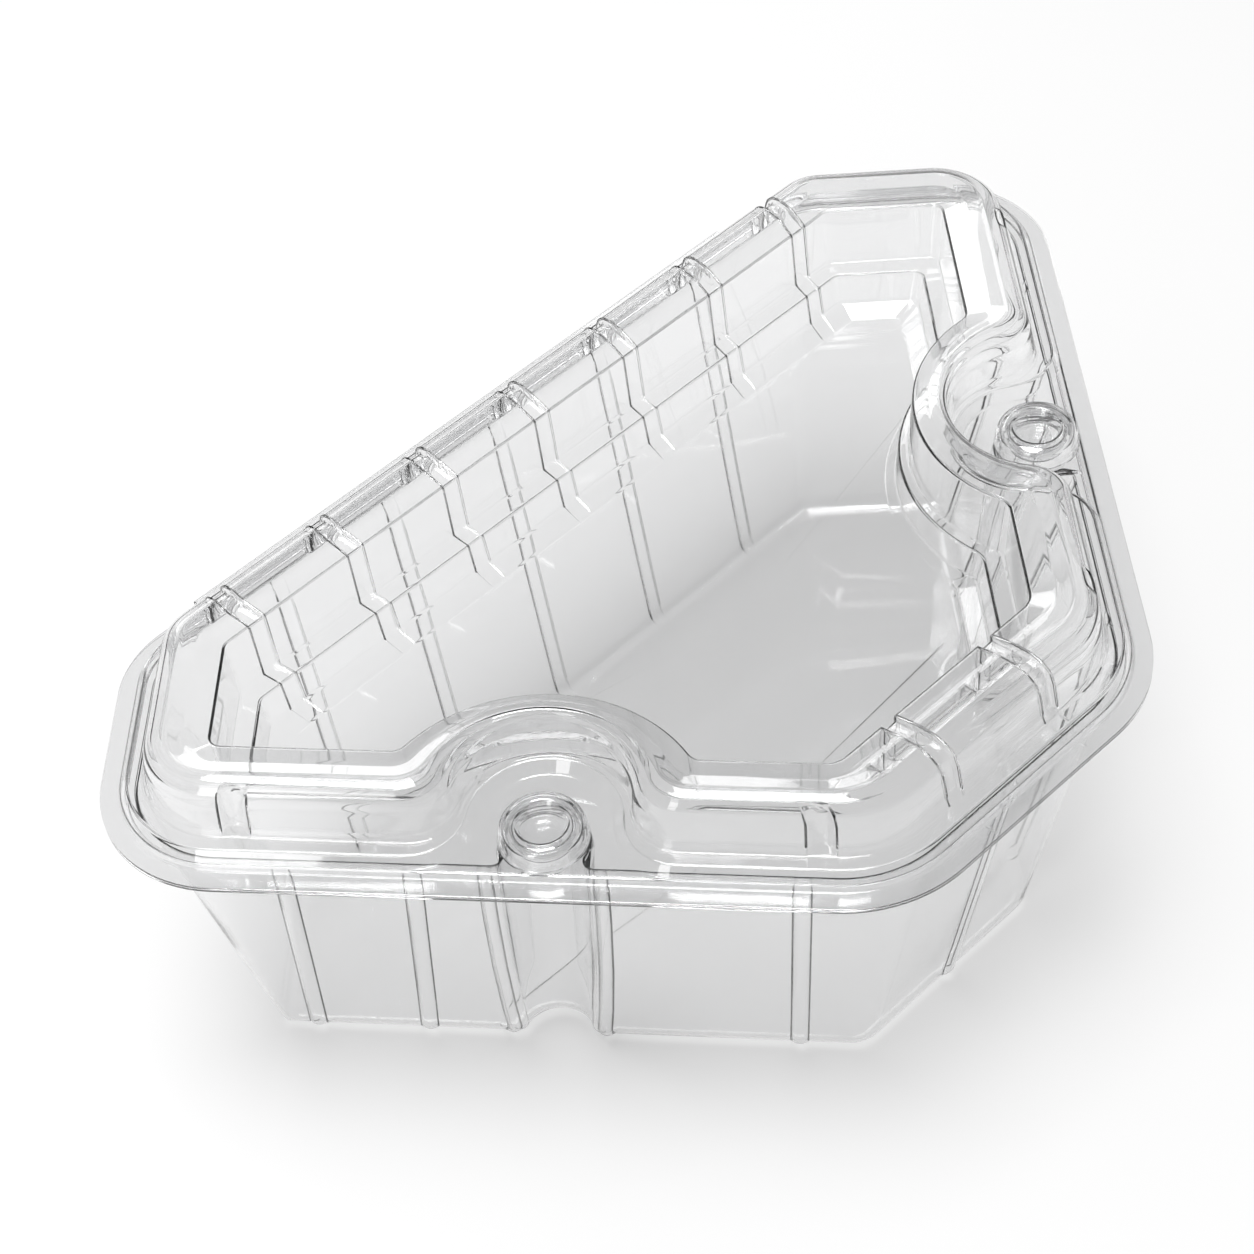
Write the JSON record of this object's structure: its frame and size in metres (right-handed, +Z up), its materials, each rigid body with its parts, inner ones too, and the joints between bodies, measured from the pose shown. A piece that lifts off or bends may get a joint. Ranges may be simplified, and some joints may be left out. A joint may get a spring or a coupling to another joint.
{
  "type": "fruit tray",
  "caption": "Clear hinged fruit tray: a deep six-sided ribbed base and a lid with a raised hollow rim, a sunk centre and round snap buttons.",
  "frame": {"origin": "middle of the bounding box's underside, on the flat floor that the tray stands on, with the lid shut", "axes": "+Z up; -Y is the front, the short edge that cuts off the corner between the two long legs; the lid is hinged along the back edge at +Y; +X is the tray's right seen from the front"},
  "size_m": [0.2332, 0.148, 0.0871],
  "materials": {
    "clear_tray": "clear, glossy, thermoformed sheet",
    "clear_lid": "clear, glossy, thermoformed sheet"
  },
  "bodies": {
    "tray": {"tray": "clear_tray"},
    "lid": {"lid": "clear_lid"}
  },
  "joints": [
    {"name": "lid_hinge", "type": "hinge", "parent": "tray", "child": "lid", "pos_m": [0, 0.0733, 0.0721], "axis": [-1, 0, 0], "range_deg": [0, 180]}
  ]
}
